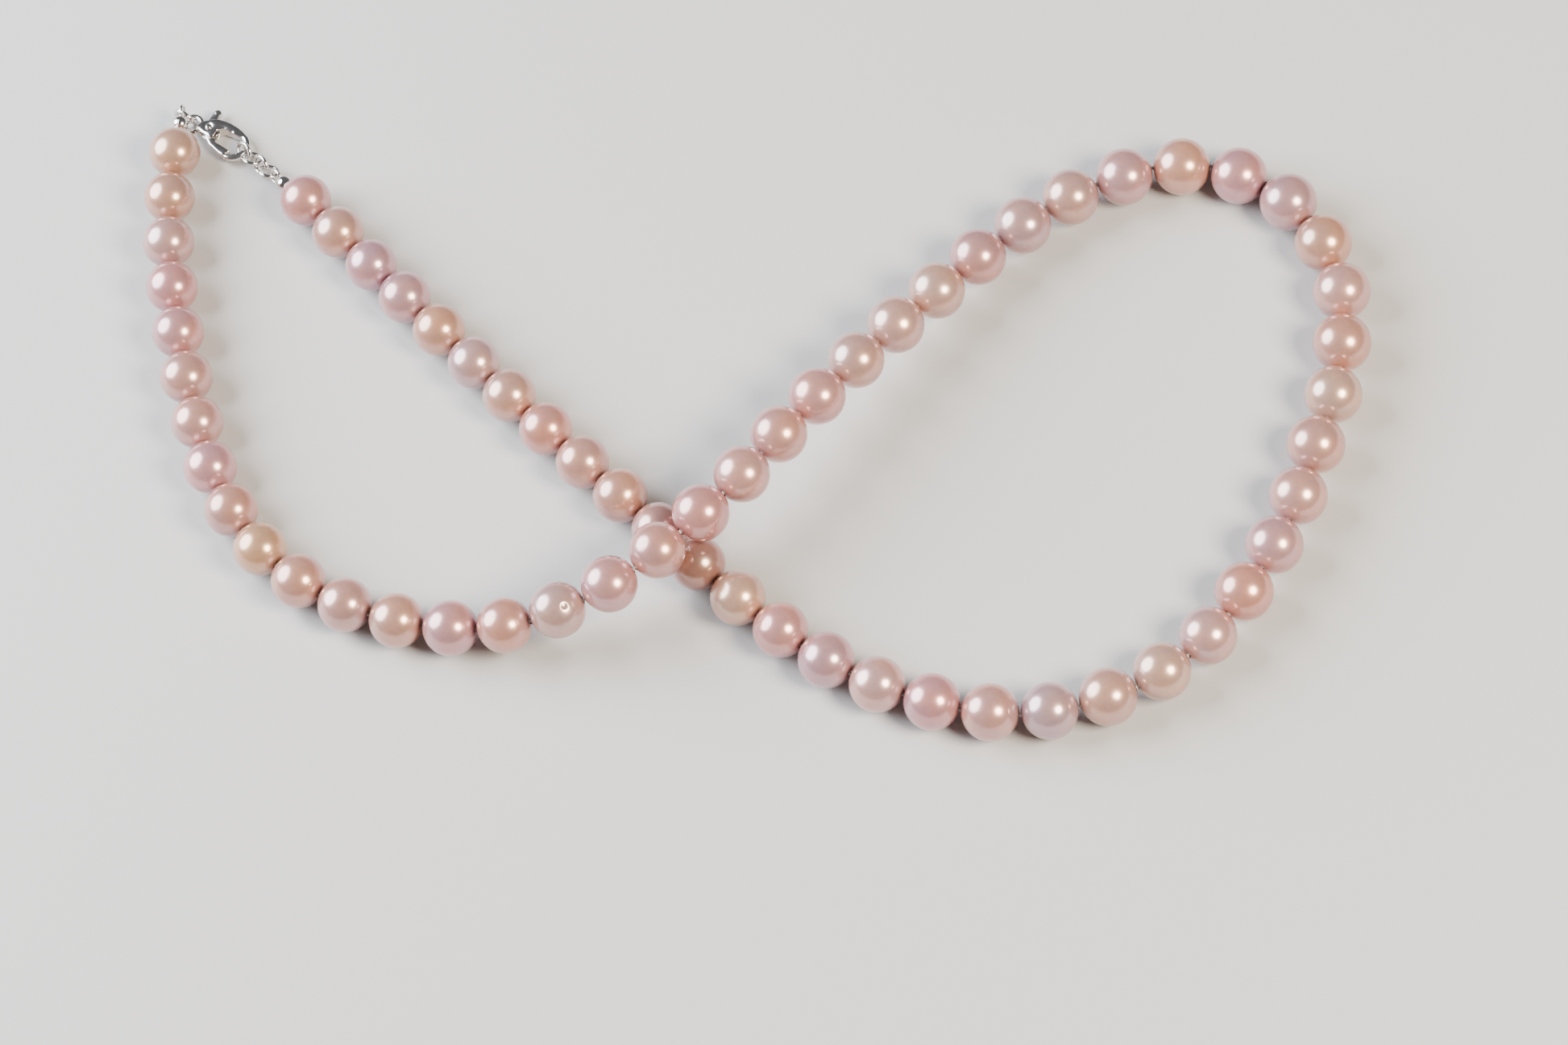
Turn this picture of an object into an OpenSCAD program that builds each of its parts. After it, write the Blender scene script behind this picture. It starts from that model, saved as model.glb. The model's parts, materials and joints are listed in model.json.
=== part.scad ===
// Single-strand pearl necklace, laid down closed in a loose figure of eight:
// drilled pearls on one silk thread, a bead tip on each end of the thread,
// a short chain of links and a lobster clasp.

/* [Pearls] */
// Diameter of the largest pearls, in the middle of the strand
pearl_d = 6.95; // [5.5:0.05:9]
// How much smaller the pearls beside the clasp are
pearl_taper = 0.55; // [0:0.05:1]
// Natural spread of the diameters about that run, each way
pearl_spread = 0.05; // [0:0.01:0.1]
// Free space on the thread between two pearls
pearl_gap = 0.1; // [0.08:0.01:0.3]

/* [Thread and bead tips] */
// Diameter of the silk thread
thread_d = 0.5; // [0.3:0.05:0.6]
// Free space round the thread in a pearl's bore
bore_play = 0.15; // [0.13:0.01:0.3]
// Diameter of the knot that stops the thread
knot_d = 1.1; // [1:0.05:1.4]
// Free space round the knot in its closed cup
knot_room = 0.23; // [0.15:0.01:0.4]
// Wall of the cup
cup_wall = 0.22; // [0.15:0.01:0.3]
// Wire of the bead tip's loop
loop_wire = 0.4; // [0.3:0.05:0.5]
// Diameter of the loop at the middle of its wire
loop_d = 1.6; // [1.5:0.1:2.4]

/* [Chain and jump ring] */
// Number of links between the bead tip and the clasp
link_count = 4; // [2:1:4]
// Wire of a link
link_wire = 0.5; // [0.4:0.05:0.6]
// Free space across a link that holds the hook and the next link
link_room = 0.35; // [0.3:0.05:0.9]
// Free space where one ring holds the next
link_play = 0.12; // [0.1:0.01:0.2]
// Wire of the jump ring
ring_wire = 0.55; // [0.45:0.05:0.65]
// Diameter of the jump ring at the middle of its wire
ring_d = 2.7; // [2.6:0.1:3.6]
// Slit where the jump ring is closed
ring_slit = 0.06; // [0.04:0.01:0.1]

/* [Lobster clasp] */
// Thickness of the claw
claw_t = 2.0; // [1.8:0.1:2.6]
// Wire of the round hook
hook_wire = 0.95; // [0.8:0.05:1.15]
// Width of the mouth inside the hook
mouth_d = 2.5; // [2.4:0.1:3]
// Distance from the inside of the hook to the middle of the eye
claw_reach = 7.6; // [7.2:0.1:9.2]
// Diameter of the eye at the middle of its wire
eye_d = 2.2; // [2.2:0.1:2.6]
// Wire of the eye
eye_wire = 0.8; // [0.6:0.05:0.8]
// Thickness of the lever
lever_t = 1.0; // [0.8:0.05:1.2]
// Rivet that the lever turns on
rivet_d = 0.7; // [0.6:0.05:0.8]
// Free space round the lever in its slot
lever_play = 0.06; // [0.05:0.01:0.1]

/* [Lay] */
// Height that the upper strand climbs at the crossing, in pearl diameters
cross_rise = 0.85; // [0.82:0.01:1]
// Turn of the clasp to the left of the chain
clasp_turn = 12; // [0:1:20]

/* [Hidden] */
$fn = 64;
pearl_count = 62;

// The strand lies in even bends: a row gives the number of a gap, counted from
// the clasp, and the direction of the strand there in degrees. Gap 0 is the
// bead tip before the first pearl and gap 62 the chain behind the last.
LAY = [
    [0, -106], [1, -103], [3, -93], [7, -83], [9, -66], [11, -42], [12, -32],
    [14, -16], [17, 21.5], [18, 31], [20, 40], [25, 33], [27, 22], [29, -3],
    [30, -25], [32, -68], [34, -104], [36, -121], [37, -121], [40, -140], [45, -205],
    [48, -229], [50, -236], [61, -240], [62, -236.5]
];
// Pearls where the upper strand leaves the ground, is highest and lands again
climb_from = 13.1;
climb_top = 18.5;
climb_to = 28.5;
// The two ends of the strand swing about these pearls until they meet
first_fixed = 9;
last_fixed = 53;

// One row for each slice of the necklace between two folding lines: the first
// and last pearl of its run on each strand, and the pearl with a node of its own
SLICES = [
    [1, 3, 2], [4, 6, 5], [7, 9, 8], [10, 12, 11], [13, 15, 14], [16, 20, 16],
    [21, 23, 22], [24, 26, 25], [27, 29, 28], [30, 32, 31], [33, 37, 35],
    [38, 40, 0], [41, 43, 0], [44, 46, 0], [47, 49, 0], [50, 53, 0],
    [54, 55, 0], [56, 57, 0], [58, 59, 0], [60, 61, 0], [62, 62, 62]
];
// A growth pit in the skin of one pearl
pit_pearl = 16;
pit_d = 0.9;
pit_depth = 0.12;
pit_azimuth = -50;
pit_elevation = 62;

pearl_color = [0.93, 0.80, 0.77];
silk_color = [0.95, 0.93, 0.88];
metal_color = [0.80, 0.79, 0.77];

// ---- Sizes of the pearls -------------------------------------------------
middle = (pearl_count + 1) / 2;
function diameter(i) =
    pearl_d - pearl_taper * (1 - cos(180 * (i - middle) / middle)) / 2
    + pearl_spread * sin(137 * i);
function radius(i) = diameter(i) / 2;
function pitch(i) = radius(i) + radius(i + 1) + pearl_gap;

// ---- Height of each pearl's centre above the ground ----------------------
function climb(i) =
    i <= climb_from || i >= climb_to ? 0 :
    i < climb_top ? (1 - cos(180 * (i - climb_from) / (climb_top - climb_from))) / 2 :
    (1 + cos(180 * (i - climb_top) / (climb_to - climb_top))) / 2;
function height(i) = radius(i) + cross_rise * pearl_d * climb(i);

function unit(v) = norm(v) == 0 ? v : v / norm(v);
function toward(a) = [cos(a), sin(a)];
function bearing(v) = atan2(v[1], v[0]);
function sum(list, i = 0) = i == len(list) ? [0, 0] : list[i] + sum(list, i + 1);
function stride(i) = sqrt(pow(pitch(i), 2) - pow(height(i + 1) - height(i), 2));

// ---- Hardware measured along the line that it lies on --------------------
bore_d = thread_d + 2 * bore_play;
cup_d = knot_d + 2 * (knot_room + cup_wall);
link_d = hook_wire + 2 * link_wire + link_room;
ground_gap = 0.05;
cup_at = pearl_gap + cup_d / 2;
loop_at = cup_at + cup_d / 2 + loop_d / 2 - cup_wall / 2;
link_pitch = link_d - link_wire - link_play;
first_link_at = loop_at + loop_d / 2 + link_d / 2 - (loop_wire + link_wire) / 2 - link_play;
hook_line = radius(pearl_count) + first_link_at + (link_count - 1) * link_pitch + link_d / 2;
claw_z = claw_t / 2 + 2 * ground_gap;
// The last link lies a little slack in the hook
hook_slack = 0.3;
ring_z = ring_d / 2 + ring_wire / 2 + ground_gap;
ring_top = ring_z + ring_d / 2;
chain_slope = asin((height(pearl_count) - claw_z) / hook_line);
hook_rest = link_wire / 2 + hook_slack;
chain_run = hook_line * cos(chain_slope) - hook_rest;
ring_angle = asin((ring_z - claw_z) / (ring_d / 2));
claw_run = claw_reach + ring_d / 2 * cos(ring_angle);
tip_line = radius(1) + loop_at;
tip_run = sqrt(pow(tip_line, 2) - pow(height(1) - ring_top, 2));

// ---- Closing the loop ----------------------------------------------------
// Both ends are rigid shapes that turn about a pearl until they meet at the
// jump ring: a triangle with three known sides.
function run(a, b) = sum([for (i = [a : b]) stride(i) * toward(lookup(i, LAY))]);
end_a = -run(1, first_fixed - 1) - tip_run * toward(lookup(0, LAY));
base = run(first_fixed, last_fixed - 1);
end_b = run(last_fixed, pearl_count - 1)
    + chain_run * toward(lookup(pearl_count, LAY))
    + claw_run * toward(lookup(pearl_count, LAY) + clasp_turn);
ring_bearing = bearing(base) + acos(
    (pow(norm(end_a), 2) + pow(norm(base), 2) - pow(norm(end_b), 2))
    / (2 * norm(end_a) * norm(base)));
ring_from_first = norm(end_a) * toward(ring_bearing);
swing_a = ring_bearing - bearing(end_a);
swing_b = bearing(ring_from_first - base) - bearing(end_b);
function heading(i) = lookup(i, LAY) + (i < first_fixed ? swing_a : i < last_fixed ? 0 : swing_b);

// ---- The lay, with the ring at the start, then centred -------------------
LAID = [for (i = 1, p = tip_run * toward(heading(0)); i <= pearl_count;
             p = p + (i < pearl_count ? stride(i) * toward(heading(i)) : [0, 0]), i = i + 1) p];
low_x = min([for (i = [1 : pearl_count]) LAID[i - 1][0] - radius(i)]);
high_x = max([for (i = [1 : pearl_count]) LAID[i - 1][0] + radius(i)]);
low_y = min([for (i = [1 : pearl_count]) LAID[i - 1][1] - radius(i)]);
clasp_bearing = heading(pearl_count) + clasp_turn;
high_y = (ring_d + ring_wire) / 2 * sin(clasp_bearing);
shift = -[low_x + high_x, low_y + high_y] / 2;
function centre(i) = [LAID[i - 1][0] + shift[0], LAID[i - 1][1] + shift[1], height(i)];

ring_centre = [shift[0], shift[1], ring_z];
tip_a_dir = unit([shift[0], shift[1], ring_top] - centre(1));
chain_dir = [
    cos(chain_slope) * cos(heading(pearl_count)),
    cos(chain_slope) * sin(heading(pearl_count)),
    -sin(chain_slope)
];
function on_chain(s) = centre(pearl_count) + (radius(pearl_count) + s) * chain_dir;
cup_a = centre(1) + (radius(1) + cup_at) * tip_a_dir;
cup_b = on_chain(cup_at);
clasp_dir = [cos(clasp_bearing), sin(clasp_bearing), 0];
hook_point = ring_centre - claw_run * clasp_dir - [0, 0, ring_z - claw_z];

// ---- Where the thread crosses each gap, and each pearl's bore ------------
function before(i) = i == 1 ? cup_a : centre(i - 1);
function after(i) = i == pearl_count ? cup_b : centre(i + 1);
function strand_dir(i) = unit(unit(after(i) - centre(i)) + unit(centre(i) - before(i)));
function gap_end(i) = centre(i) + (radius(i) + pearl_gap / 2) * strand_dir(i);
function gap_start(i) = centre(i) - (radius(i) + pearl_gap / 2) * strand_dir(i);
function crossing(i) =
    i == 0 ? gap_start(1) :
    i == pearl_count ? gap_end(pearl_count) :
    (gap_end(i) + gap_start(i + 1)) / 2;
function bore_dir(i) = unit(crossing(i) - crossing(i - 1));

// ---- Names ---------------------------------------------------------------
function run_name(s) =
    s[0] == s[1] ? str("pearl_", s[0]) : str("pearls_", s[0], "_", s[1]);
RUNS = [for (s = SLICES) if (s[0] < s[1]) s];
SINGLES = [for (s = SLICES) if (s[2] > 0) s[2]];

// ---- Shared shapes -------------------------------------------------------
// Stands its children at a point, with their own Z along a direction and
// turned about it
module aim(at, dir, turn = 0) {
    translate(at)
        rotate([0, acos(dir[2] / norm(dir)), bearing(dir)])
            rotate([0, 0, turn])
                children();
}

module wire_ring(mean_d, wire) {
    rotate_extrude()
        translate([mean_d / 2, 0])
            circle(d = wire, $fn = 32);
}

// ---- Pearls --------------------------------------------------------------
module pearl(i) {
    color(pearl_color)
        difference() {
            aim(centre(i), bore_dir(i))
                drilled_ball(diameter(i), bore_d);
            if (i == pit_pearl) growth_pit(i);
        }
}

module drilled_ball(d, bore) {
    rotate_extrude()
        difference() {
            circle(d = d);
            translate([bore / 2 - d, -d])
                square([d, 2 * d]);
        }
}

module growth_pit(i) {
    bite = (pow(pit_d / 2, 2) + pow(pit_depth, 2)) / (2 * pit_depth);
    translate(centre(i))
        rotate([0, 90 - pit_elevation, pit_azimuth])
            translate([0, 0, radius(i) + bite - pit_depth])
                sphere(r = bite);
}

module pearl_run(s) {
    for (i = [s[0] : s[1]]) {
        if (i != s[2]) pearl(i);
    }
}

// ---- Thread and knots ----------------------------------------------------
// The thread runs from one knot through every pearl to the other knot, with a
// ring of corners at each bend
thread_sides = 8;
ROUTE = [cup_a, for (i = [0 : pearl_count]) crossing(i), cup_b];
last_bend = len(ROUTE) - 1;
function route_dir(n) =
    unit((n < last_bend ? unit(ROUTE[n + 1] - ROUTE[n]) : [0, 0, 0])
         + (n > 0 ? unit(ROUTE[n] - ROUTE[n - 1]) : [0, 0, 0]));
function thread_ring(n) =
    let (d = route_dir(n), side = unit(cross([0, 0, 1], d)), up = cross(d, side))
    [for (k = [0 : thread_sides - 1])
        let (turn = 360 * k / thread_sides)
        ROUTE[n] + thread_d / 2 * (cos(turn) * side + sin(turn) * up)];

module silk_thread() {
    points = [for (n = [0 : last_bend]) each thread_ring(n)];
    walls = [for (n = [0 : last_bend - 1]) for (k = [0 : thread_sides - 1])
        let (next = (k + 1) % thread_sides, a = n * thread_sides, b = a + thread_sides)
        [a + k, b + k, b + next, a + next]];
    start_cap = [for (k = [0 : thread_sides - 1]) k];
    end_cap = [for (k = [thread_sides - 1 : -1 : 0]) last_bend * thread_sides + k];
    color(silk_color)
        polyhedron(points, concat(walls, [start_cap, end_cap]));
}

// The thread enters the knot from below
module silk_knot(at, dir) {
    color(silk_color)
        aim(at, dir)
            difference() {
                sphere(d = knot_d);
                translate([0, 0, -knot_d])
                    cylinder(d = thread_d + 2 * knot_play, h = knot_d + knot_play);
            }
}
knot_play = 0.02;

// ---- Bead tips: a closed cup round the knot, with a loop -----------------
// The thread comes in along one direction and the loop stands along another
module bead_tip(at, thread_dir, loop_dir, loop_turn) {
    color(metal_color) {
        aim(at, thread_dir)
            difference() {
                sphere(d = cup_d);
                sphere(d = cup_d - 2 * cup_wall);
                translate([0, 0, -cup_d])
                    cylinder(d = bore_d, h = cup_d);
            }
        aim(at + (loop_at - cup_at) * loop_dir, loop_dir, loop_turn)
            rotate([90, 0, 0])
                wire_ring(loop_d, loop_wire);
    }
}

// ---- Chain and jump ring -------------------------------------------------
// The rings of a chain stand square to each other: the even ones lean, and the
// odd ones lie flatter
lean = 30;
module link(k) {
    color(metal_color)
        aim(on_chain(first_link_at + (k - 1) * link_pitch), chain_dir, k % 2 == 0 ? lean : lean - 90)
            rotate([90, 0, 0])
                wire_ring(link_d, link_wire);
}

module jump_ring() {
    color(metal_color)
        translate(ring_centre)
            rotate([90, 0, clasp_bearing])
                difference() {
                    wire_ring(ring_d, ring_wire);
                    translate([-ring_d / 2, 0, 0])
                        cube([2 * ring_wire, ring_slit, 2 * ring_wire], center = true);
                }
}

// ---- Lobster clasp, in its own frame -------------------------------------
// X runs from the inside of the hook to the eye, and Y to the gate's side
mouth_r = mouth_d / 2;
head_r = mouth_r + hook_wire;
pivot = [claw_reach - 2.3, -0.4];
gate_tip = [mouth_r + 0.2, head_r - 0.3];
knob_at = [pivot[0] + 0.45, -head_r - 0.6];
gate_reach = norm(pivot - gate_tip);

module in_clasp() {
    translate(hook_point)
        rotate([0, 0, clasp_bearing])
            children();
}

// The hook is a round bar bent about the mouth, cut off where the gate meets it
module hook() {
    difference() {
        translate([mouth_r, 0, 0])
            rotate([0, 0, 70])
                rotate_extrude(angle = 220)
                    translate([mouth_r + hook_wire / 2, 0])
                        circle(d = hook_wire, $fn = 32);
        intersection() {
            translate([pivot[0], pivot[1], 0])
                cylinder(r = gate_reach + lever_play, h = 2 * claw_t, center = true);
            translate([0, 0, -claw_t])
                cube([pivot[0], 2 * head_r, 2 * claw_t]);
        }
    }
}

module spine_outline() {
    neck_x = claw_reach - eye_d / 2 + 0.2;
    tail_x = pivot[0] + 0.5;
    difference() {
        polygon([
            [1, 0.1 - head_r], [2, -head_r], [3, -head_r - 0.05], [tail_x - 1.8, 0.05 - head_r],
            [tail_x - 1, 0.3 - head_r], [tail_x - 0.2, 0.8 - head_r], [neck_x, -0.4], [neck_x, 0.4],
            [tail_x + 0.1, 0.65], [tail_x - 1.5, 0.75], [tail_x - 1.8, 0.4], [tail_x - 1.8, -0.6],
            [tail_x - 2.3, -1.1], [mouth_r, -mouth_r], [1, -mouth_r]
        ]);
        translate([mouth_r, 0]) circle(r = mouth_r);
    }
}

// Seen from the gate's side the spine is thin at the hook and at the eye
module spine_side() {
    polygon([
        [0.9, -hook_wire / 2], [3, -claw_t / 2], [pivot[0] + 0.8, -claw_t / 2], [claw_reach, -eye_wire / 2],
        [claw_reach, eye_wire / 2], [pivot[0] + 0.8, claw_t / 2], [3, claw_t / 2], [0.9, hook_wire / 2]
    ]);
}

module lever_outline() {
    gate_top = gate_tip[1] + 0.05;
    translate(pivot) circle(r = 0.85);
    intersection() {
        translate(pivot) circle(r = gate_reach);
        polygon([
            [pivot[0] + 0.1, -1], [pivot[0] - 0.9, -0.3], [pivot[0] - 1.9, 0.8], [0.4, 1], [0.4, gate_top],
            [mouth_r + 1, gate_top], [pivot[0] - 1.4, 1.55], [pivot[0] + 0.5, 0.3]
        ]);
    }
    polygon([
        [pivot[0] - 0.6, -0.4], [knob_at[0] - 0.4, knob_at[1]], [knob_at[0] + 0.4, knob_at[1]],
        [pivot[0] + 0.8, -0.4]
    ]);
}

// The part of the claw that the lever works in, from the pivot
module lever_room() {
    polygon([
        [-1.5, 2], [0.9, 2], [1.15, -0.1], [2.1, knob_at[1] + 0.7], [-0.9, knob_at[1] + 0.1], [-1.4, 0.1]
    ]);
}

module claw() {
    color(metal_color)
        in_clasp() {
            hook();
            difference() {
                intersection() {
                    linear_extrude(height = claw_t, center = true)
                        spine_outline();
                    rotate([90, 0, 0])
                        linear_extrude(height = 4 * head_r, center = true)
                            spine_side();
                }
                translate([pivot[0], pivot[1], 0]) {
                    linear_extrude(height = lever_t + 2 * lever_play, center = true)
                        lever_room();
                    cylinder(d = rivet_d + 2 * rivet_play, h = 2 * claw_t, center = true);
                }
            }
            translate([claw_reach, 0, 0])
                wire_ring(eye_d, eye_wire);
        }
}

rivet_play = 0.01;
knob_d = 1.2;
module claw_lever() {
    color(metal_color)
        in_clasp()
            difference() {
                union() {
                    linear_extrude(height = lever_t, center = true)
                        lever_outline();
                    translate([knob_at[0], knob_at[1], 0])
                        sphere(d = knob_d);
                }
                translate([pivot[0], pivot[1], 0])
                    cylinder(d = rivet_d + 2 * lever_play, h = 2 * claw_t, center = true);
                translate([pivot[0], pivot[1], lever_t / 2 - spring_h - lever_play])
                    cylinder(d = spring_d + 2 * lever_play, h = lever_t);
            }
}

module lever_rivet() {
    color(metal_color)
        in_clasp()
            translate([pivot[0], pivot[1], 0])
                cylinder(d = rivet_d, h = claw_t, center = true);
}

spring_d = 1.35;
spring_h = 0.3;
module lever_spring() {
    color(metal_color)
        in_clasp()
            translate([pivot[0], pivot[1], lever_t / 2 - spring_h])
                difference() {
                    cylinder(d = spring_d, h = spring_h);
                    translate([0, 0, -spring_h])
                        cylinder(d = rivet_d + 2 * lever_play, h = 3 * spring_h);
                }
}

for (s = RUNS) {
    pearl_run(s);
}
for (i = SINGLES) {
    pearl(i);
}
silk_thread();
silk_knot(cup_a, cup_a - crossing(0));  // silk_knot_a
silk_knot(cup_b, cup_b - crossing(pearl_count));  // silk_knot_b
union() {  // bead_tip_a
    bead_tip(cup_a, cup_a - crossing(0), tip_a_dir, 0);
}
union() {  // bead_tip_b
    bead_tip(cup_b, cup_b - crossing(pearl_count), chain_dir, lean);
}
for (k = [1 : link_count]) {
    link(k);
}
jump_ring();
claw();
claw_lever();
lever_rivet();
lever_spring();
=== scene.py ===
# %% [markdown]
# # A pearl necklace laid down in a figure of eight
# The necklace is 62 drilled pearls on one silk thread. A bead tip hides the knot
# at each end of the thread, four small links and a lobster clasp close the loop,
# and a jump ring joins the clasp to the other bead tip.
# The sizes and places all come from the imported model, which is loaded first and
# never moved. What this file adds is the surface: the nacre, the silver and silk.

# %% Load the model that everything is built around
import json
import math
import random

import bmesh
import bpy
import numpy as np
from mathutils import Matrix, Quaternion, Vector, noise

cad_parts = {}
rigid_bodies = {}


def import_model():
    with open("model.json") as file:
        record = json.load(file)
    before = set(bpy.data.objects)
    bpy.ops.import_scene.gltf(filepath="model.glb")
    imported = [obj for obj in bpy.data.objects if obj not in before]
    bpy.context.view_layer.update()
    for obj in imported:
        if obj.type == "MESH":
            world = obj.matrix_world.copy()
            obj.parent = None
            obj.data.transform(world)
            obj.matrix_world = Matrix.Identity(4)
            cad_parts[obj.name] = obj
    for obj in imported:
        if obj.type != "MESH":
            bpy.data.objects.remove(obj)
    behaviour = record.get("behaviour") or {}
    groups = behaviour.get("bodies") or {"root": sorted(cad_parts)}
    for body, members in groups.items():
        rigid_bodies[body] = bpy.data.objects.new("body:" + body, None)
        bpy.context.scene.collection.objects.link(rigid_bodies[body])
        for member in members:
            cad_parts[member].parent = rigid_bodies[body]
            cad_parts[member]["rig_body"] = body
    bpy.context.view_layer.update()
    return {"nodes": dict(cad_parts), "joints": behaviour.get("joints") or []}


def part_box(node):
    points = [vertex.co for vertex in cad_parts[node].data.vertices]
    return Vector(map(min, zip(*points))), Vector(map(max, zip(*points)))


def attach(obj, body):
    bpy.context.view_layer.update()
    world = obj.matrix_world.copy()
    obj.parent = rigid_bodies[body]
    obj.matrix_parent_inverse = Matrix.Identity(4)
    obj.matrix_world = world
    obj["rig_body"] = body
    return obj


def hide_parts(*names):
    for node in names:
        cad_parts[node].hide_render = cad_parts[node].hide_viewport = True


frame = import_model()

MM = 0.001
WELD = 0.0005 * MM

# %% [markdown]
# ## The camera
# A product photographer would shoot this from high in front with a long lens, so
# that the loops keep their true shape. A wide lens close by would swell the near
# pearls. The camera is 0.54 m away with a 105 mm lens and leans a little to one
# side, which gives the strand its diagonal sweep.

# %% Camera
LOOK_AT = Vector((-1.9, -19.2, 0)) * MM
CAMERA_HEIGHT = 478.8 * MM
CAMERA_BACK = 253.0 * MM
CAMERA_LEAN = math.radians(-12.47)

camera_data = bpy.data.cameras.new("studio_camera")
camera_data.lens = 105
camera_data.sensor_width = 36
camera_data.clip_start = 0.01
camera_data.clip_end = 20
camera = bpy.data.objects.new("studio_camera", camera_data)
bpy.context.scene.collection.objects.link(camera)
camera.location = LOOK_AT + Vector((0, -CAMERA_BACK, CAMERA_HEIGHT))
aim = (LOOK_AT - camera.location).to_track_quat("-Z", "Y")
lean = Quaternion((0, 0, 1), CAMERA_LEAN)
camera.rotation_mode = "QUATERNION"
camera.rotation_quaternion = aim @ lean
bpy.context.scene.camera = camera
print("camera", [round(c, 4) for c in camera.location])

# %% [markdown]
# ## Reading the pearls from the model
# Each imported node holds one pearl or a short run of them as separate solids. A
# flood fill over shared edges finds each solid, and its box gives the centre and
# the diameter. Walking from the first bead tip to the nearest pearl not yet
# visited puts the 62 pearls in the order in which they hang on the thread.

# %% Find every pearl and put them in order along the strand
def solids_of(node):
    """The centre and diameter of each separate solid in a node."""
    bm = bmesh.new()
    bm.from_mesh(frame["nodes"][node].data)
    bmesh.ops.remove_doubles(bm, verts=bm.verts, dist=WELD)
    waiting = set(bm.verts)
    found = []
    while waiting:
        island = set()
        edge_of_search = [waiting.pop()]
        while edge_of_search:
            vert = edge_of_search.pop()
            island.add(vert)
            for edge in vert.link_edges:
                other = edge.other_vert(vert)
                if other in waiting:
                    waiting.discard(other)
                    edge_of_search.append(other)
        low = Vector([min(v.co[k] for v in island) for k in range(3)])
        high = Vector([max(v.co[k] for v in island) for k in range(3)])
        found.append(((low + high) / 2, max(high - low)))
    bm.free()
    return found


def middle_of(node):
    low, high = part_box(node)
    return (low + high) / 2


loose = [
    {"centre": centre, "d": d, "node": node, "body": frame["nodes"][node]["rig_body"]}
    for node in sorted(frame["nodes"])
    if node.startswith("pearl")
    for centre, d in solids_of(node)
]
strand = []
here = middle_of("silk_knot_a")
while loose:
    nearest = min(loose, key=lambda p: (p["centre"] - here).length - p["d"] / 2)
    loose.remove(nearest)
    strand.append(nearest)
    here = nearest["centre"]
print("pearls", len(strand), "from", round(strand[0]["d"] / MM, 2), "to",
      round(max(p["d"] for p in strand) / MM, 2), "mm")

# %% [markdown]
# ## Where the thread runs
# The thread bends in the middle of each gap between two pearls. A pearl's bore
# points from the gap before it to the gap behind it, so neighbouring bores meet
# and the strand can fold there.

# %% Gap points and bore directions
knot_a = middle_of("silk_knot_a")
knot_b = middle_of("silk_knot_b")
first, second = strand[:2]
GAP = (second["centre"] - first["centre"]).length - (first["d"] + second["d"]) / 2


def strand_dir(i):
    before = knot_a if i == 0 else strand[i - 1]["centre"]
    after = knot_b if i == len(strand) - 1 else strand[i + 1]["centre"]
    here = strand[i]["centre"]
    return ((after - here).normalized() + (here - before).normalized()).normalized()


def gap_side(i, side):
    pearl = strand[i]
    return pearl["centre"] + side * (pearl["d"] + GAP) / 2 * strand_dir(i)


crossings = [gap_side(0, -1)]
for i in range(len(strand) - 1):
    crossings.append((gap_side(i, 1) + gap_side(i + 1, -1)) / 2)
crossings.append(gap_side(len(strand) - 1, 1))
for i, pearl in enumerate(strand):
    pearl["number"] = i + 1
    pearl["bore"] = (crossings[i + 1] - crossings[i]).normalized()
print("gap between pearls", round(GAP / MM, 3), "mm")

# %% [markdown]
# ## The shape of a pearl
# A cultured pearl is nearly a ball, but never quite: it is a few hundredths of a
# millimetre out of round, its skin is faintly dimpled, and the drill leaves a
# small worn rim at each end of the bore. A plain sphere would look moulded.
# Here a half outline is spun round the bore, which gives a real hole, and each
# point is then pushed in or out a little by smooth noise. The noise is seeded by
# the pearl's number, so every pearl differs and every run is the same.

# %% Spin one drilled pearl
BORE_D = 0.8 * MM
MOUTH = 0.06 * MM


def arc_from(bm, place, angle, steps):
    """Swings a point down round the middle, and returns the arc's first and last point."""
    start = bm.verts.new(place)
    arc = bmesh.ops.spin(bm, geom=[start], cent=(0, 0, 0), axis=(0, 1, 0), angle=angle, steps=steps)
    last = [v for v in arc["geom_last"] if isinstance(v, bmesh.types.BMVert)][0]
    return start, last


def spin_round(bm, steps):
    """Spins an outline a full turn about +Z and closes it."""
    bmesh.ops.spin(bm, geom=bm.verts[:] + bm.edges[:], cent=(0, 0, 0), axis=(0, 0, 1),
                   angle=math.tau, steps=steps, use_merge=True)
    bmesh.ops.remove_doubles(bm, verts=bm.verts, dist=WELD)
    bmesh.ops.recalc_face_normals(bm, faces=bm.faces)


def spun_ball(d, around, along):
    """A drilled ball about +Z, made by spinning its half outline."""
    bm = bmesh.new()
    r = d / 2
    rim = math.asin((BORE_D / 2 + MOUTH) / r)
    start, last = arc_from(bm, (r * math.sin(rim), 0, r * math.cos(rim)), math.pi - 2 * rim, along)
    inner_top = bm.verts.new((BORE_D / 2, 0, start.co.z - MOUTH))
    inner_low = bm.verts.new((BORE_D / 2, 0, last.co.z + MOUTH))
    for one, other in ((start, inner_top), (inner_top, inner_low), (inner_low, last)):
        bm.edges.new((one, other))
    spin_round(bm, around)
    return bm


sample = spun_ball(strand[0]["d"], 24, 16)
print("one coarse pearl has", len(sample.faces), "faces")
sample.free()

# %% [markdown]
# ## Out of round, dimpled and pitted
# Two sizes of noise do it: a slow one for the shape and a quick one for the
# skin. One pearl beside the crossing has a growth pit, a small bowl that the
# nacre never filled, so it gets a finer mesh that can hold the bowl's rim.

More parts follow.
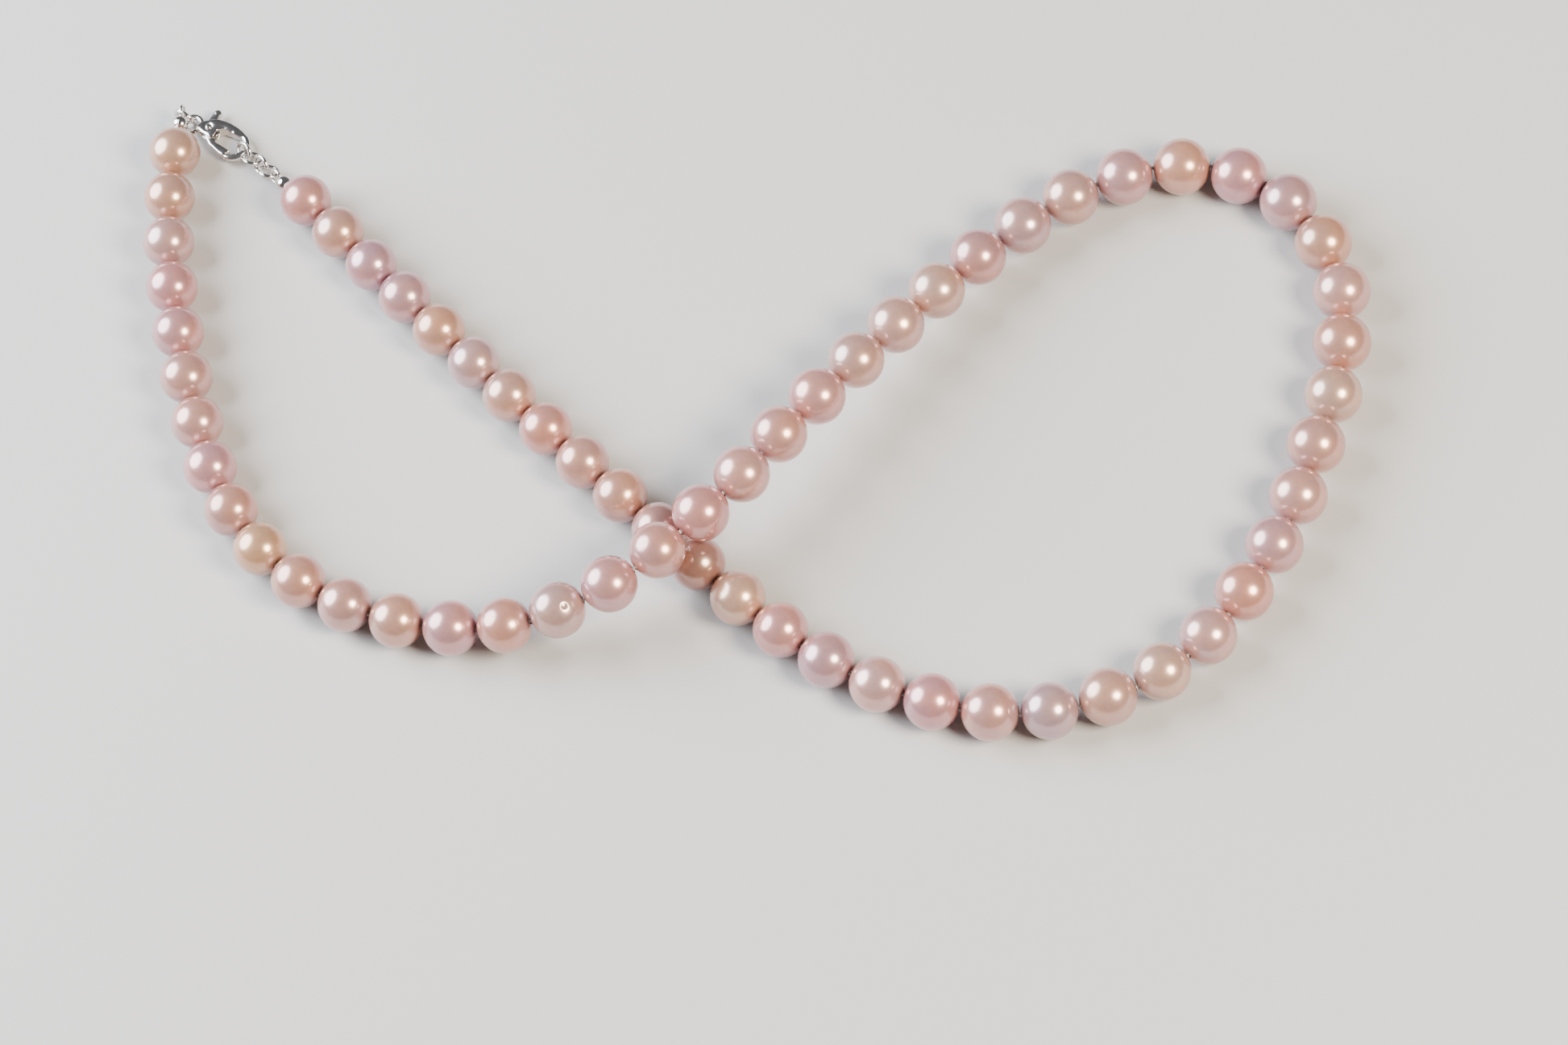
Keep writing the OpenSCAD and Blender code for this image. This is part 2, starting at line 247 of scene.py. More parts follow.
# %% Weather the skin of a pearl
OUT_OF_ROUND = 0.022 * MM
DIMPLE = 0.006 * MM
SLOW_WAVES = 1.3
QUICK_WAVES = 6.0
PIT_PEARL = 16
PIT_D = 0.9 * MM
PIT_DEPTH = 0.12 * MM
PIT_EDGE = 1.3
PIT_AZIMUTH = math.radians(-50)
PIT_ELEVATION = math.radians(62)
pit_dir = Vector((
    math.cos(PIT_ELEVATION) * math.cos(PIT_AZIMUTH),
    math.cos(PIT_ELEVATION) * math.sin(PIT_AZIMUTH),
    math.sin(PIT_ELEVATION),
))


def pit_bowl(out, pit, r):
    """How deep the growth pit is in the direction out: a bowl with a rounded edge."""
    from_pit = (out - pit).length * r / (PIT_D / 2)
    if from_pit >= PIT_EDGE:
        return 0
    return PIT_DEPTH * 0.5 * (1 + math.cos(math.pi * from_pit / PIT_EDGE))


def weather(bm, d, number, pit=None):
    """Push the outer skin in by noise, never outwards past the true size."""
    seed = Vector((number * 3.7, number * 1.9, 0))
    for vert in bm.verts:
        if Vector(vert.co.xy).length < BORE_D / 2 + 0.5 * MOUTH:
            continue
        out = vert.co.normalized()
        slow = noise.noise(out * SLOW_WAVES + seed)
        quick = noise.noise(out * QUICK_WAVES + seed)
        inward = OUT_OF_ROUND * (0.5 + 0.5 * slow) + DIMPLE * max(0, quick)
        if pit is not None:
            inward += pit_bowl(out, pit, d / 2)
        vert.co -= out * inward


print("pit on pearl", PIT_PEARL, "with a diameter of", round(PIT_D / MM, 2), "mm")

# %% [markdown]
# ## Placing the pearls and giving each its own tint
# Pearls on one strand are matched, but close up each has its own cast: rose,
# cream, peach or a touch of lavender. The cast is stored as a colour on the
# mesh, so that one nacre finish serves all the pearls. A few pearls that stand
# out are named one by one, and the rest are drawn from a seeded shuffle.

# %% Tints by name
TINTS = {
    "rose": (0.54, 0.28, 0.24),
    "cream": (0.56, 0.32, 0.255),
    "peach": (0.55, 0.285, 0.215),
    "lavender": (0.51, 0.29, 0.28),
    "golden": (0.57, 0.34, 0.18),
    "deep": (0.40, 0.19, 0.14),
}
STANDING_OUT = {
    9: "peach", 10: "golden", 14: "lavender", 16: "lavender", 18: "peach",
    32: "lavender", 40: "peach", 48: "lavender", 51: "deep", 59: "lavender",
}
COMMON = ["rose", "rose", "rose", "peach", "peach", "cream", "lavender"]
WANDER = 0.025
dice = random.Random(62)


def tint_of(number):
    """The pearl's own colour: its named cast with a slight wander."""
    name = STANDING_OUT.get(number, dice.choice(COMMON))
    wander = [dice.uniform(-WANDER, WANDER) for _ in range(3)]
    return [c + w for c, w in zip(TINTS[name], wander)]


for pearl in strand:
    pearl["tint"] = tint_of(pearl["number"])
print("tints drawn for", len(strand), "pearls")

# %% [markdown]
# ## Building the pearls
# Each pearl is spun and weathered about +Z, then turned onto its bore and moved
# to its place. The pearls that share a node of the model become one piece. The
# three finishes are only named here; their nodes are filled in further down.

# %% Build the pearls, one piece for each node of the model
AROUND = 96
ALONG = 60
FINE = 2
BORE_EDGE_ANGLE = math.radians(50)


def pearl_mesh(pearl, target):
    """Adds one finished pearl to the bmesh target, in its place."""
    number = pearl["number"]
    fine = FINE if number == PIT_PEARL else 1
    bm = spun_ball(pearl["d"], AROUND * fine, ALONG * fine)
    turn = pearl["bore"].to_track_quat("Z", "Y")
    pit = turn.inverted() @ pit_dir if number == PIT_PEARL else None
    weather(bm, pearl["d"], number, pit)
    layer = bm.verts.layers.float_color.new("nacre_tint")
    for vert in bm.verts:
        vert[layer] = (*pearl["tint"], 1)
    bm.transform(Matrix.Translation(pearl["centre"]) @ turn.to_matrix().to_4x4())
    part = bpy.data.meshes.new("pearl_part")
    bm.to_mesh(part)
    bm.free()
    target.from_mesh(part)
    bpy.data.meshes.remove(part)


def finished(bm, name, material, smooth=True):
    """Turns a bmesh into an object at the origin with one material."""
    mesh = bpy.data.meshes.new(name)
    bm.to_mesh(mesh)
    bm.free()
    mesh.materials.append(material)
    if smooth:
        mesh.shade_smooth()
    obj = bpy.data.objects.new(name, mesh)
    bpy.context.scene.collection.objects.link(obj)
    return obj


nacre = bpy.data.materials.new("nacre")
silver = bpy.data.materials.new("polished_silver")
silk = bpy.data.materials.new("twisted_silk")

pearl_nodes = sorted({p["node"] for p in strand})
for node in pearl_nodes:
    bm = bmesh.new()
    bm.verts.layers.float_color.new("nacre_tint")
    mine = [p for p in strand if p["node"] == node]
    for pearl in mine:
        pearl_mesh(pearl, bm)
    piece = finished(bm, node.replace("pearl", "nacre_pearl"), nacre)
    piece.data.set_sharp_from_angle(angle=BORE_EDGE_ANGLE)
    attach(piece, mine[0]["body"])
    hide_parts(node)
print("pearl pieces", len(pearl_nodes))

# %% [markdown]
# ## Nacre
# Nacre is thousands of thin layers over a bead. Light from a lamp is mirrored at
# the top skin, which gives the hard bright spot, and again softly from the layers
# below, which gives the glow round it. So the finish has a rough, slightly
# metallic body under a clear coat, with the tint wandering in soft patches and
# a trace of thin-film colour. All patterns read Object coordinates in metres.

# %% Helpers for the finishes
def new_shader(material):
    """Clears a material and gives it one Principled shader."""
    material.use_nodes = True
    tree = material.node_tree
    tree.nodes.clear()
    out = tree.nodes.new("ShaderNodeOutputMaterial")
    shader = tree.nodes.new("ShaderNodeBsdfPrincipled")
    tree.links.new(shader.outputs["BSDF"], out.inputs["Surface"])
    return tree, shader


def noise_pattern(tree, scale, detail):
    """A noise in the object's own space, where 1000 gives about a millimetre."""
    where = tree.nodes.new("ShaderNodeTexCoord")
    pattern = tree.nodes.new("ShaderNodeTexNoise")
    pattern.inputs["Scale"].default_value = scale
    pattern.inputs["Detail"].default_value = detail
    tree.links.new(where.outputs["Object"], pattern.inputs["Vector"])
    return pattern.outputs["Fac"]


def ramp(tree, value, low, high, low_color, high_color):
    """Colours a pattern, from one colour where it is low to another where it is high."""
    node = tree.nodes.new("ShaderNodeValToRGB")
    node.color_ramp.elements[0].position = low
    node.color_ramp.elements[1].position = high
    node.color_ramp.elements[0].color = (*low_color, 1)
    node.color_ramp.elements[1].color = (*high_color, 1)
    tree.links.new(value, node.inputs["Fac"])
    return node.outputs["Color"]


def multiplied(tree, a, b):
    """Two colour patterns multiplied with each other."""
    node = tree.nodes.new("ShaderNodeMix")
    node.data_type = "RGBA"
    node.blend_type = "MULTIPLY"
    node.inputs["Factor"].default_value = 1
    tree.links.new(a, node.inputs["A"])
    tree.links.new(b, node.inputs["B"])
    return node.outputs["Result"]


def bumped(tree, shader, height, distance, strength):
    """Lets a pattern raise fine bumps that only the light sees."""
    node = tree.nodes.new("ShaderNodeBump")
    node.inputs["Distance"].default_value = distance
    node.inputs["Strength"].default_value = strength
    tree.links.new(height, node.inputs["Height"])
    tree.links.new(node.outputs["Normal"], shader.inputs["Normal"])


print("finishes to fill in:", nacre.name, silver.name, silk.name)

# %% Nacre finish
CLOUDS = 260
STREAKS = 1500
SKIN = 2600

tree, shader = new_shader(nacre)
tint = tree.nodes.new("ShaderNodeAttribute")
tint.attribute_name = "nacre_tint"
clouds = ramp(tree, noise_pattern(tree, CLOUDS, 3), 0.35, 0.68,
              low_color=(0.90, 0.93, 1.03), high_color=(1.06, 0.98, 0.90))
cloudy = multiplied(tree, tint.outputs["Color"], clouds)
streaks = ramp(tree, noise_pattern(tree, STREAKS, 4), 0.30, 0.75,
               low_color=(0.93, 0.93, 0.94), high_color=(1.05, 1.04, 1.03))
tree.links.new(multiplied(tree, cloudy, streaks), shader.inputs["Base Color"])
shader.inputs["Metallic"].default_value = 0.45
shader.inputs["Roughness"].default_value = 0.28
shader.inputs["IOR"].default_value = 1.6
shader.inputs["Subsurface Weight"].default_value = 0.1
shader.inputs["Subsurface Radius"].default_value = (1.0, 0.65, 0.5)
shader.inputs["Subsurface Scale"].default_value = 0.0012
shader.inputs["Coat Weight"].default_value = 1.0
shader.inputs["Coat Roughness"].default_value = 0.15
shader.inputs["Coat IOR"].default_value = 1.6
shader.inputs["Thin Film Thickness"].default_value = 380
shader.inputs["Thin Film IOR"].default_value = 1.4
bumped(tree, shader, noise_pattern(tree, SKIN, 3), distance=0.006 * MM, strength=0.5)
print("nacre finish ready")

# %% [markdown]
# ## Silver and silk
# Polished silver is a plain metal with faint tarnish in soft patches and a skin
# that is not quite flat, which breaks up its reflections. Silk is the opposite:
# matt, with a sheen at its edges and finer, paler strands running through it.

# %% Polished silver and silk finishes
TARNISH = 900
POLISH_MARKS = 4000
FIBRES = 6000

tree, shader = new_shader(silver)
tarnish = ramp(tree, noise_pattern(tree, TARNISH, 4), 0.3, 0.75,
               low_color=(0.70, 0.66, 0.62), high_color=(0.86, 0.83, 0.80))
tree.links.new(tarnish, shader.inputs["Base Color"])
shader.inputs["Metallic"].default_value = 1.0
shader.inputs["Roughness"].default_value = 0.16
bumped(tree, shader, noise_pattern(tree, POLISH_MARKS, 3), distance=0.003 * MM, strength=0.4)

tree, shader = new_shader(silk)
fibres = ramp(tree, noise_pattern(tree, FIBRES, 3), 0.3, 0.7,
              low_color=(0.80, 0.76, 0.68), high_color=(0.95, 0.92, 0.86))
tree.links.new(fibres, shader.inputs["Base Color"])
shader.inputs["Roughness"].default_value = 0.55
shader.inputs["Sheen Weight"].default_value = 0.4
print("silver and silk finishes ready")

# %% [markdown]
# ## The silk
# Pearls are strung on twisted silk, three plies laid round each other. It shows
# only as a glint in the gaps, but a plain tube would look like plastic there.
# Each folding part of the strand carries its own stretch of thread, and the
# stretches meet at the gaps, where the strand bends.

# %% Twist three plies along a line of points
THREAD_D = 0.5 * MM
PLIES = 3
PLY_R = THREAD_D / 2 / (1 + 1 / math.sin(math.pi / PLIES))
TWIST = 1.3 * MM
STEP = 0.15 * MM


def tube_mesh(lines, radius, roundness=2):
    """A round tube along each line of points, as one mesh."""
    curve = bpy.data.curves.new("tube", "CURVE")
    curve.dimensions = "3D"
    curve.bevel_depth = radius
    curve.bevel_resolution = roundness
    curve.use_fill_caps = True
    for line in lines:
        spline = curve.splines.new("POLY")
        spline.points.add(len(line) - 1)
        for point, place in zip(spline.points, line):
            point.co = (*place, 1)
    holder = bpy.data.objects.new("tube", curve)
    mesh = bpy.data.meshes.new_from_object(holder)
    bpy.data.objects.remove(holder)
    bpy.data.curves.remove(curve)
    return mesh


def evenly_along(points, step):
    """Evenly spaced places along a bent line, each with the line's direction."""
    places = []
    for start, end in zip(points, points[1:]):
        count = max(2, round((end - start).length / step))
        for k in range(count):
            places.append((start.lerp(end, k / count), (end - start).normalized()))
    places.append((points[-1], (points[-1] - points[-2]).normalized()))
    return places


def plies(points):
    """The three plies of the thread along a bent line."""
    lines = [[] for _ in range(PLIES)]
    gone = 0
    last = points[0]
    for place, direction in evenly_along(points, STEP):
        gone += (place - last).length
        last = place
        side = Vector((0, 0, 1)).cross(direction).normalized()
        up = direction.cross(side)
        for ply in range(PLIES):
            turn = math.tau * (gone / TWIST + ply / PLIES)
            outwards = math.cos(turn) * side + math.sin(turn) * up
            lines[ply].append(place + (THREAD_D / 2 - PLY_R) * outwards)
    return lines


parent_of = {joint["child"]: joint["parent"] for joint in frame["joints"]}


def carried_by(pearl):
    """The body that carries the thread inside a pearl. A spinning pearl does not."""
    body = pearl["body"]
    return parent_of[body] if body.startswith("bead_") else body


def from_mesh(mesh, name, material):
    """Turns a mesh into a finished object and removes the mesh."""
    bm = bmesh.new()
    bm.from_mesh(mesh)
    bpy.data.meshes.remove(mesh)
    bmesh.ops.recalc_face_normals(bm, faces=bm.faces)
    return finished(bm, name, material)


stretches = []
for i, pearl in enumerate(strand):
    body = carried_by(pearl)
    if stretches and stretches[-1][0] == body:
        stretches[-1][1].append(crossings[i + 1])
    else:
        stretches.append((body, [crossings[i], crossings[i + 1]]))
stretches[0][1].insert(0, knot_a)
stretches[-1][1].append(knot_b)

silk_lines = {}
for body, points in stretches:
    silk_lines.setdefault(body, []).extend(plies(points))
for body, lines in silk_lines.items():
    piece = from_mesh(tube_mesh(lines, PLY_R), "silk_" + body, silk)
    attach(piece, body)
    if body == frame["nodes"]["silk_thread"]["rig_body"]:
        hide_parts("silk_thread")
print("stretches of thread", len(silk_lines))

# %% [markdown]
# ## The knots
# A knot at each end keeps the thread from slipping out of its bead tip. The line
# of a simple overhand knot is a trefoil, so the thread is laid along that curve
# and drawn up tight enough to fill the closed cup.

# %% Tie the two knots
KNOT_D = 1.1 * MM
KNOT_PLY = 0.17 * MM
KNOT_STEPS = 96
ENDS = (("a", knot_a, crossings[0]), ("b", knot_b, crossings[-1]))


def knot_line(centre, direction):
    """A trefoil, the line of a simple overhand knot, pulled tight."""
    turn = direction.to_track_quat("Z", "Y")
    size = (KNOT_D / 2 - KNOT_PLY) / 3
    line = []
    for k in range(KNOT_STEPS + 1):
        t = math.tau * k / KNOT_STEPS
        x = math.sin(t) + 2 * math.sin(2 * t)
        y = math.cos(t) - 2 * math.cos(2 * t)
        line.append(centre + turn @ Vector((x, y, -math.sin(3 * t))) * size)
    return line


for end, knot, gap in ENDS:
    node = "silk_knot_" + end
    line = knot_line(knot, (knot - gap).normalized())
    piece = from_mesh(tube_mesh([line], KNOT_PLY, 3), "tied_knot_" + end, silk)
    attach(piece, frame["nodes"][node]["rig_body"])
    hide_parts(node)
print("knots", len(ENDS))

# %% [markdown]
# ## Rings and links
# Chain links and jump rings are wire wound on a rod, cut, closed and soldered.
# The solder joint shows as a fine line across the wire even after polishing, so
# each link gets one. A ring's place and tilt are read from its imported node: its
# middle is the box's middle, and its flat side faces along the shortest spread.

# %% Read a ring's frame from its node and spin a better ring there
WIRE_SIDES = 24
SOLDER_HALF_ANGLE = 0.03


def node_points(node):
    """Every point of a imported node's mesh, as rows of x, y and z."""
    mesh = frame["nodes"][node].data
    points = np.empty(len(mesh.vertices) * 3)
    mesh.vertices.foreach_get("co", points)
    return points.reshape(-1, 3)


def far_from(points, middle):
    """How far each point is from the middle."""
    return np.linalg.norm(points - np.array(middle), axis=1)


def flat_axis(points, middle):
    """The direction in which the points spread least: a flat ring's axis."""
    _, directions = np.linalg.eigh(np.cov((points - np.array(middle)).T))
    return Vector(directions[:, 0])


def ring_frame(node, wire):
    """A ring's middle, axis and diameter at the middle of its wire, from its node."""
    points = node_points(node)
    middle = (points.max(0) + points.min(0)) / 2
    mean_d = 2 * float(far_from(points, middle).max()) - wire
    return Vector(middle), flat_axis(points, middle), mean_d


def spun_ring(mean_d, wire, start=0.0, angle=math.tau, steps=96):
    """Wire bent round +Z, open if the angle is less than a full turn."""
    bm = bmesh.new()
    circle = bmesh.ops.create_circle(bm, segments=WIRE_SIDES, radius=wire / 2)["verts"]
    stand = Matrix.Translation((mean_d / 2, 0, 0)) @ Matrix.Rotation(math.pi / 2, 4, "X")
    bmesh.ops.transform(bm, matrix=Matrix.Rotation(start, 4, "Z") @ stand, verts=circle)
    full = angle == math.tau
    outline = bm.edges[:]
    spun = bmesh.ops.spin(bm, geom=outline, cent=(0, 0, 0), axis=(0, 0, 1),
                          angle=angle, steps=steps, use_merge=full)
    if not full:
        last = [e for e in spun["geom_last"] if isinstance(e, bmesh.types.BMEdge)]
        for end in (outline, last):
            bmesh.ops.contextual_create(bm, geom=end)
    bmesh.ops.remove_doubles(bm, verts=bm.verts, dist=WELD)
    bmesh.ops.recalc_face_normals(bm, faces=bm.faces)
    return bm


def solder_line(bm, mean_d, at_angle, depth):
    """Pinches the wire slightly at one place."""
    for vert in bm.verts:
        away = math.atan2(vert.co.y, vert.co.x) - at_angle
        away = (away + math.pi) % math.tau - math.pi
        if abs(away) < SOLDER_HALF_ANGLE:
            core = Vector((vert.co.x, vert.co.y, 0)).normalized() * mean_d / 2
            vert.co -= (vert.co - core).normalized() * depth


def set_in_place(bm, middle, axis, toward=None):
    """Moves a shape made about +Z to its place, with its +X as near toward as it goes."""
    turn = axis.to_track_quat("Z", "Y").to_matrix().to_4x4()
    if toward is not None:
        x = (toward - axis * toward.dot(axis)).normalized()
        turn = Matrix((x, axis.cross(x), axis)).transposed().to_4x4()
    bmesh.ops.transform(bm, matrix=Matrix.Translation(middle) @ turn, verts=bm.verts)


def dressed(piece, node):
    """Puts a finished silver piece in the place of its node."""
    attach(piece, frame["nodes"][node]["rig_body"])
    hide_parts(node)


LINK_WIRE = 0.5 * MM
SOLDER_DEPTH = 0.014 * MM
links = sorted(node for node in frame["nodes"] if node.startswith("link_"))
for number, node in enumerate(links):
    middle, axis, mean_d = ring_frame(node, LINK_WIRE)
    bm = spun_ring(mean_d, LINK_WIRE)
    solder_line(bm, mean_d, 0.6 + 1.7 * number, SOLDER_DEPTH)
    set_in_place(bm, middle, axis)
    dressed(finished(bm, "soldered_" + node, silver), node)
print("links", len(links), "mean diameter", round(mean_d / MM, 2), "mm")

# %% [markdown]
# ## The jump ring
# A jump ring is not soldered: it is twisted open and shut with two pairs of
# pliers, so it keeps a fine slit. Here the ring is spun nearly a full turn, and
# turned so that its slit is on the side away from the clasp.

# %% The jump ring, left open by a fine slit
RING_WIRE = 0.55 * MM
SLIT = 0.06 * MM
ring_middle, ring_axis, ring_d = ring_frame("jump_ring", RING_WIRE)
to_claw = middle_of("claw") - ring_middle
slit_angle = SLIT / (ring_d / 2)
bm = spun_ring(ring_d, RING_WIRE, math.pi + slit_angle / 2, math.tau - slit_angle)
set_in_place(bm, ring_middle, ring_axis, Vector((to_claw.x, to_claw.y, 0)))
dressed(finished(bm, "cut_jump_ring", silver), "jump_ring")
print("jump ring", round(ring_d / MM, 2), "mm")

# %% [markdown]
# ## Bead tips
# A bead tip is stamped from sheet: two half cups on a hinge that close over the
# knot like a clam, with a wire loop that is curled shut. The line where the
# halves meet is the detail that tells it from a plain ball.

# %% Spin the two closed halves and cut the seam between them
CUP_D = 2.0 * MM
CUP_WALL = 0.22 * MM
LOOP_D = 1.6 * MM
LOOP_WIRE = 0.4 * MM
LOOP_START = math.pi + 0.05
LOOP_TURN = math.tau - 0.45
SEAM = 0.035 * MM
SEAM_DEPTH = 0.06 * MM
SKIN_DEPTH = 0.02 * MM
PAST_CUP = 0.15 * MM


def closed_cup():
    """A thin ball about +Z with the thread's hole at its foot."""
    bm = bmesh.new()
    outer = CUP_D / 2
    feet = []
    for radius, steps in ((outer, 48), (outer - CUP_WALL, 36)):
        half_hole = math.asin(BORE_D / 2 / radius)
        feet.append(arc_from(bm, (0, 0, radius), math.pi - half_hole, steps)[1])
    bm.edges.new(feet)
    spin_round(bm, 96)
    for offset in (-SEAM, 0, SEAM):
        bmesh.ops.bisect_plane(bm, geom=bm.verts[:] + bm.edges[:] + bm.faces[:],
                               dist=0.2 * WELD, plane_co=(0, offset, 0), plane_no=(0, 1, 0))
    for vert in bm.verts:
        if abs(vert.co.y) < 0.2 * SEAM and vert.co.length > outer - SKIN_DEPTH:
            vert.co -= vert.co.normalized() * SEAM_DEPTH
    bmesh.ops.recalc_face_normals(bm, faces=bm.faces)
    return bm


def joined(*parts):
    """Several meshes in one bmesh."""
    whole = bmesh.new()
    for part in parts:
        mesh = bpy.data.meshes.new("part")
        part.to_mesh(mesh)
        part.free()
        whole.from_mesh(mesh)
        bpy.data.meshes.remove(mesh)
    return whole


def loop_of(node, cup_middle):
    """The middle and axis of the loop: the part of a node that is outside its cup."""
    points = node_points(node)
    loop = points[far_from(points, cup_middle) > CUP_D / 2 + PAST_CUP]
    tip = loop[far_from(loop, cup_middle).argmax()]
    out = (Vector(tip) - cup_middle).normalized()
    middle = cup_middle + out * (CUP_D / 2 + LOOP_D / 2 - CUP_WALL / 2)
    return middle, flat_axis(loop, middle), out


for end, cup_middle, gap in ENDS:
    node = "bead_tip_" + end
    loop_middle, loop_axis, out = loop_of(node, cup_middle)
    cup = closed_cup()
    set_in_place(cup, cup_middle, (cup_middle - gap).normalized(), loop_axis.cross(out))
    loop = spun_ring(LOOP_D, LOOP_WIRE, LOOP_START, LOOP_TURN, 80)
    set_in_place(loop, loop_middle, loop_axis, out)
    dressed(finished(joined(cup, loop), "clam_" + node, silver), node)
print("bead tips ready")

# %% [markdown]
# ## The lobster clasp
# Lobster clasps are cast from wax and tumbled: the back swells like a pillow and
# every edge is soft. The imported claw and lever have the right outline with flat
# sides. A copy of each is rebuilt from small cubes. Relaxing its points up and
# down only swells the sides and keeps the outline, and a short relaxing every
# way then softens the edges. The round hook is left out of the first step, which
# would flatten it.

# %% Cast copies of the claw and the lever
SPINE_REACH = 3.4 * MM
EYE_REACH = 2.6 * MM
rivet_low, rivet_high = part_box("lever_rivet")
rivet_middle = (rivet_low + rivet_high) / 2


def in_spine(place):
    """True for the flat part of the claw, between the round hook and the eye."""
    flat = Vector((place.x - rivet_middle.x, place.y - rivet_middle.y, 0))
    return flat.length < SPINE_REACH and (place - ring_middle).length > EYE_REACH


def anywhere(place):
    """True for every point."""
    return True


def rebuilt_from_cubes(node, grain):
    """A closed copy of a node's skin, made of small even faces."""
    bm = bmesh.new()
    bm.from_mesh(frame["nodes"][node].data)
    bmesh.ops.remove_doubles(bm, verts=bm.verts, dist=WELD)
    rough = finished(bm, "rough_" + node, silver)
    cubes = rough.modifiers.new("grain", "REMESH")
    cubes.mode = "VOXEL"
    cubes.voxel_size = grain
    seen = rough.evaluated_get(bpy.context.evaluated_depsgraph_get())
    bm = bmesh.new()
    bm.from_mesh(seen.to_mesh())
    seen.to_mesh_clear()
    bpy.data.objects.remove(rough)
    return bm


def cast_copy(node, grain, swell, tumble, swells):
    """A cast copy: swell rounds for the points that swell, then tumble rounds for all."""
    bm = rebuilt_from_cubes(node, grain)
    pillow = [vert for vert in bm.verts if swells(vert.co)]
    for _ in range(swell):
        bmesh.ops.smooth_vert(bm, verts=pillow, factor=0.5, use_axis_z=True)
    for _ in range(tumble):
        bmesh.ops.smooth_vert(bm, verts=bm.verts, factor=0.5,
                              use_axis_x=True, use_axis_y=True, use_axis_z=True)
    bmesh.ops.recalc_face_normals(bm, faces=bm.faces)
    print("cast", node, "has", len(bm.faces), "faces")
    dressed(finished(bm, "cast_" + node, silver), node)


cast_copy("claw", 0.06 * MM, swell=220, tumble=12, swells=in_spine)
cast_copy("claw_lever", 0.05 * MM, swell=60, tumble=10, swells=anywhere)

# %% [markdown]
# ## The rivet
# The lever turns on a wire rivet that is hammered over at both ends, so its
# heads are low domes. Half an outline, from the top of one dome to its edge, is
# mirrored for the other end, and then spun.

# %% The rivet with hammered heads
RIVET_R = 0.35 * MM
HEAD = 0.05 * MM
half_length = (rivet_high.z - rivet_low.z) / 2
bm = bmesh.new()
outline = [
    (0, half_length + HEAD),
    (0.24 * MM, half_length + 0.8 * HEAD),
    (0.33 * MM, half_length + 0.2 * HEAD),
    (RIVET_R, half_length - HEAD),
]
outline += [(x, -z) for x, z in reversed(outline)]
rim = [bm.verts.new((x, 0, z)) for x, z in outline]
for one, other in zip(rim, rim[1:]):
    bm.edges.new((one, other))
spin_round(bm, 48)
bmesh.ops.translate(bm, vec=rivet_middle, verts=bm.verts)
rivet = finished(bm, "hammered_rivet", silver)
rivet.data.set_sharp_from_angle(angle=math.radians(60))
dressed(rivet, "lever_rivet")
print("rivet", round(2 * half_length / MM, 2), "mm long between its heads")

# %% [markdown]
# ## The spring
# A few turns of fine wire round the rivet push the lever shut. They are hidden in
# the claw, but show when the lever is taken out. A helix is a line of points, and
# a bevelled curve gives it the wire's thickness.

# %% The spring round the rivet
SPRING_WIRE = 0.12 * MM
SPRING_PLAY = 0.02 * MM
COILS = 2
COIL_STEPS = 36
low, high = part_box("lever_spring")
coil_r = (high.x - low.x) / 2 - SPRING_WIRE / 2 - SPRING_PLAY
coil = []
for k in range(COILS * COIL_STEPS + 1):
    turn = math.tau * k / COIL_STEPS
    share = k / (COILS * COIL_STEPS)
    rise = low.z + SPRING_WIRE / 2 + (high.z - low.z - SPRING_WIRE) * share
    coil.append(Vector((rivet_middle.x + coil_r * math.cos(turn),
                        rivet_middle.y + coil_r * math.sin(turn), rise)))
spring = from_mesh(tube_mesh([coil], SPRING_WIRE / 2), "coiled_spring", silver)
dressed(spring, "lever_spring")
print("spring", round(2 * coil_r / MM, 2), "mm across at the middle of its wire")

# %% [markdown]
# ## Studio
# A pale floor and two soft lights: a large cool one from the upper left, whose
# reflection is the big window on each pearl, and a small warm one from the lower
# right, for the second round spot. A dim sky fills in the rest. The camera sees
# a pale backdrop in its place, so the picture stays light from low down too.

# %% Floor
FLOOR_HALF = 1.5

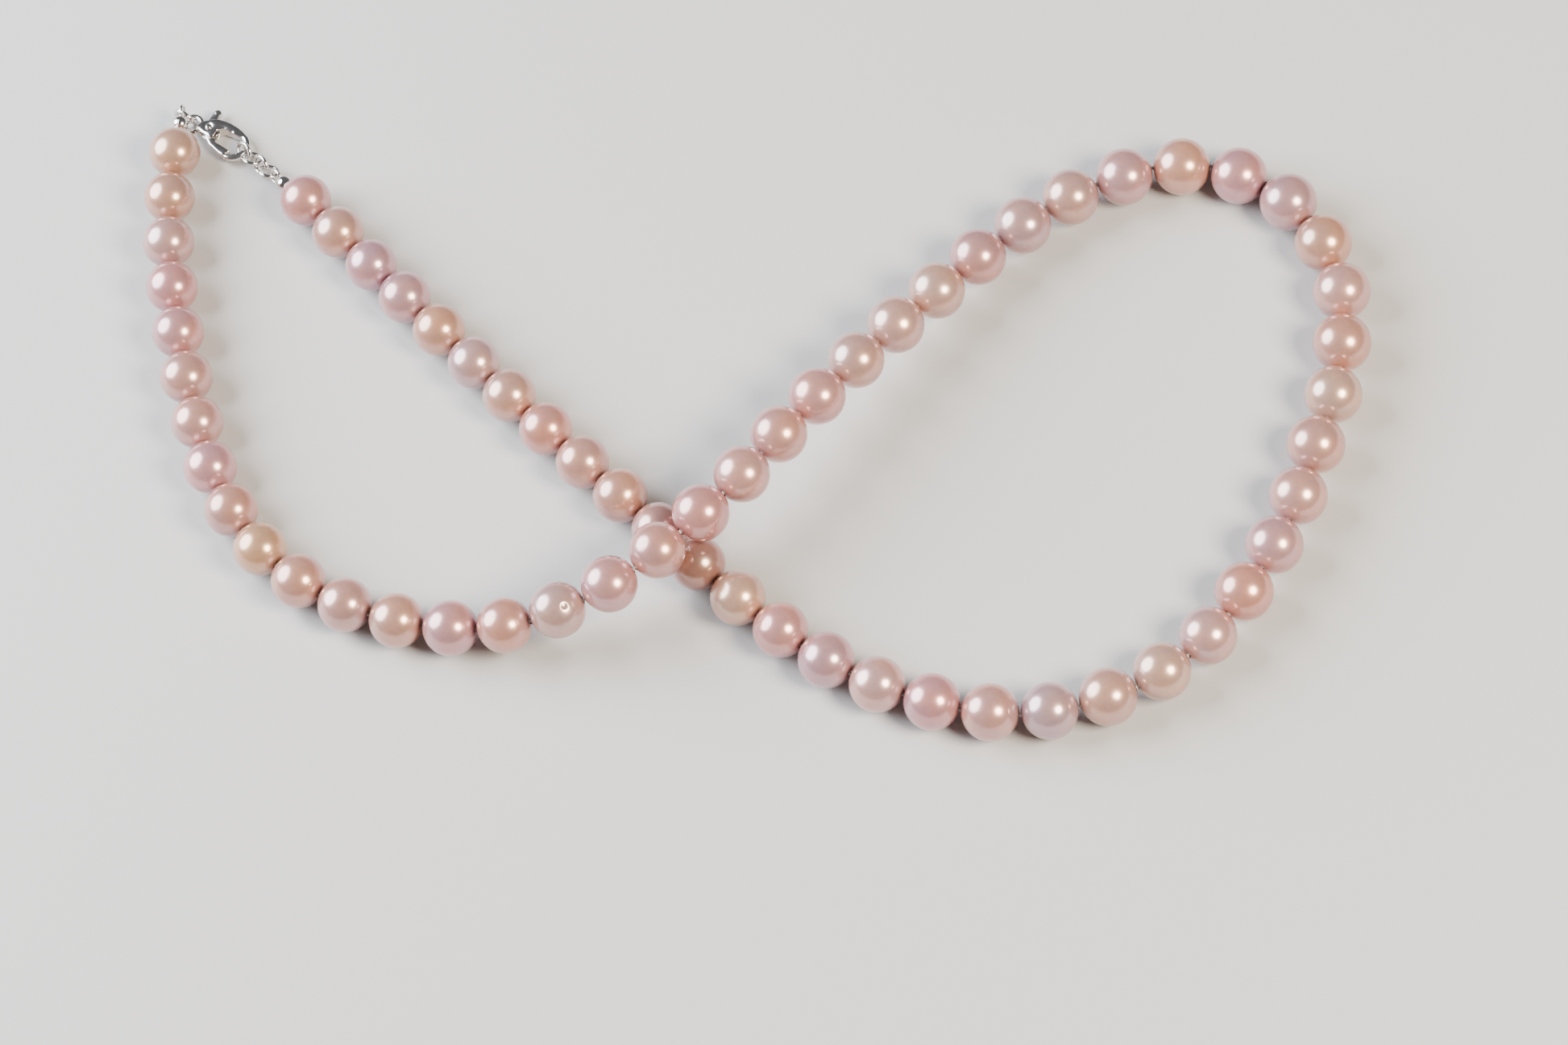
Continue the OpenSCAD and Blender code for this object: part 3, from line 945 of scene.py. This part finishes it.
floor_finish = bpy.data.materials.new("studio_floor")
tree, shader = new_shader(floor_finish)
shader.inputs["Base Color"].default_value = (0.52, 0.505, 0.49, 1)
shader.inputs["Roughness"].default_value = 0.7
bm = bmesh.new()
bmesh.ops.create_grid(bm, x_segments=1, y_segments=1, size=FLOOR_HALF)
floor = finished(bm, "studio_floor", floor_finish, smooth=False)
print("floor", 2 * FLOOR_HALF, "m square")

# %% Lights
def soft_light(name, direction, distance, width, power, color):
    """A round soft light that faces the necklace."""
    data = bpy.data.lights.new(name, "AREA")
    data.shape = "DISK"
    data.size = width
    data.energy = power
    data.color = color
    light = bpy.data.objects.new(name, data)
    bpy.context.scene.collection.objects.link(light)
    toward = Vector(direction).normalized()
    light.location = toward * distance
    light.rotation_mode = "QUATERNION"
    light.rotation_quaternion = (-toward).to_track_quat("-Z", "Y")
    print(name, width, "m across,", power, "W")


soft_light("cool_window", (-0.76, 0.33, 0.55), distance=0.60, width=0.56, power=15,
           color=(0.86, 0.92, 1.0))
soft_light("warm_lamp", (0.53, -0.46, 0.71), distance=0.60, width=0.25, power=8,
           color=(1.0, 0.90, 0.76))

# %% Sky and backdrop
world = bpy.data.worlds.new("studio_sky")
world.use_nodes = True
sky_tree = world.node_tree
sky = sky_tree.nodes["Background"]
sky.inputs["Color"].default_value = (0.90, 0.92, 1.0, 1)
sky.inputs["Strength"].default_value = 0.14
backdrop = sky_tree.nodes.new("ShaderNodeBackground")
backdrop.inputs["Color"].default_value = (0.72, 0.72, 0.71, 1)
rays = sky_tree.nodes.new("ShaderNodeLightPath")
either = sky_tree.nodes.new("ShaderNodeMixShader")
sky_tree.links.new(rays.outputs["Is Camera Ray"], either.inputs["Fac"])
sky_tree.links.new(sky.outputs["Background"], either.inputs[1])
sky_tree.links.new(backdrop.outputs["Background"], either.inputs[2])
sky_tree.links.new(either.outputs["Shader"], sky_tree.nodes["World Output"].inputs["Surface"])
bpy.context.scene.world = world
print("sky strength", round(sky.inputs["Strength"].default_value, 2))
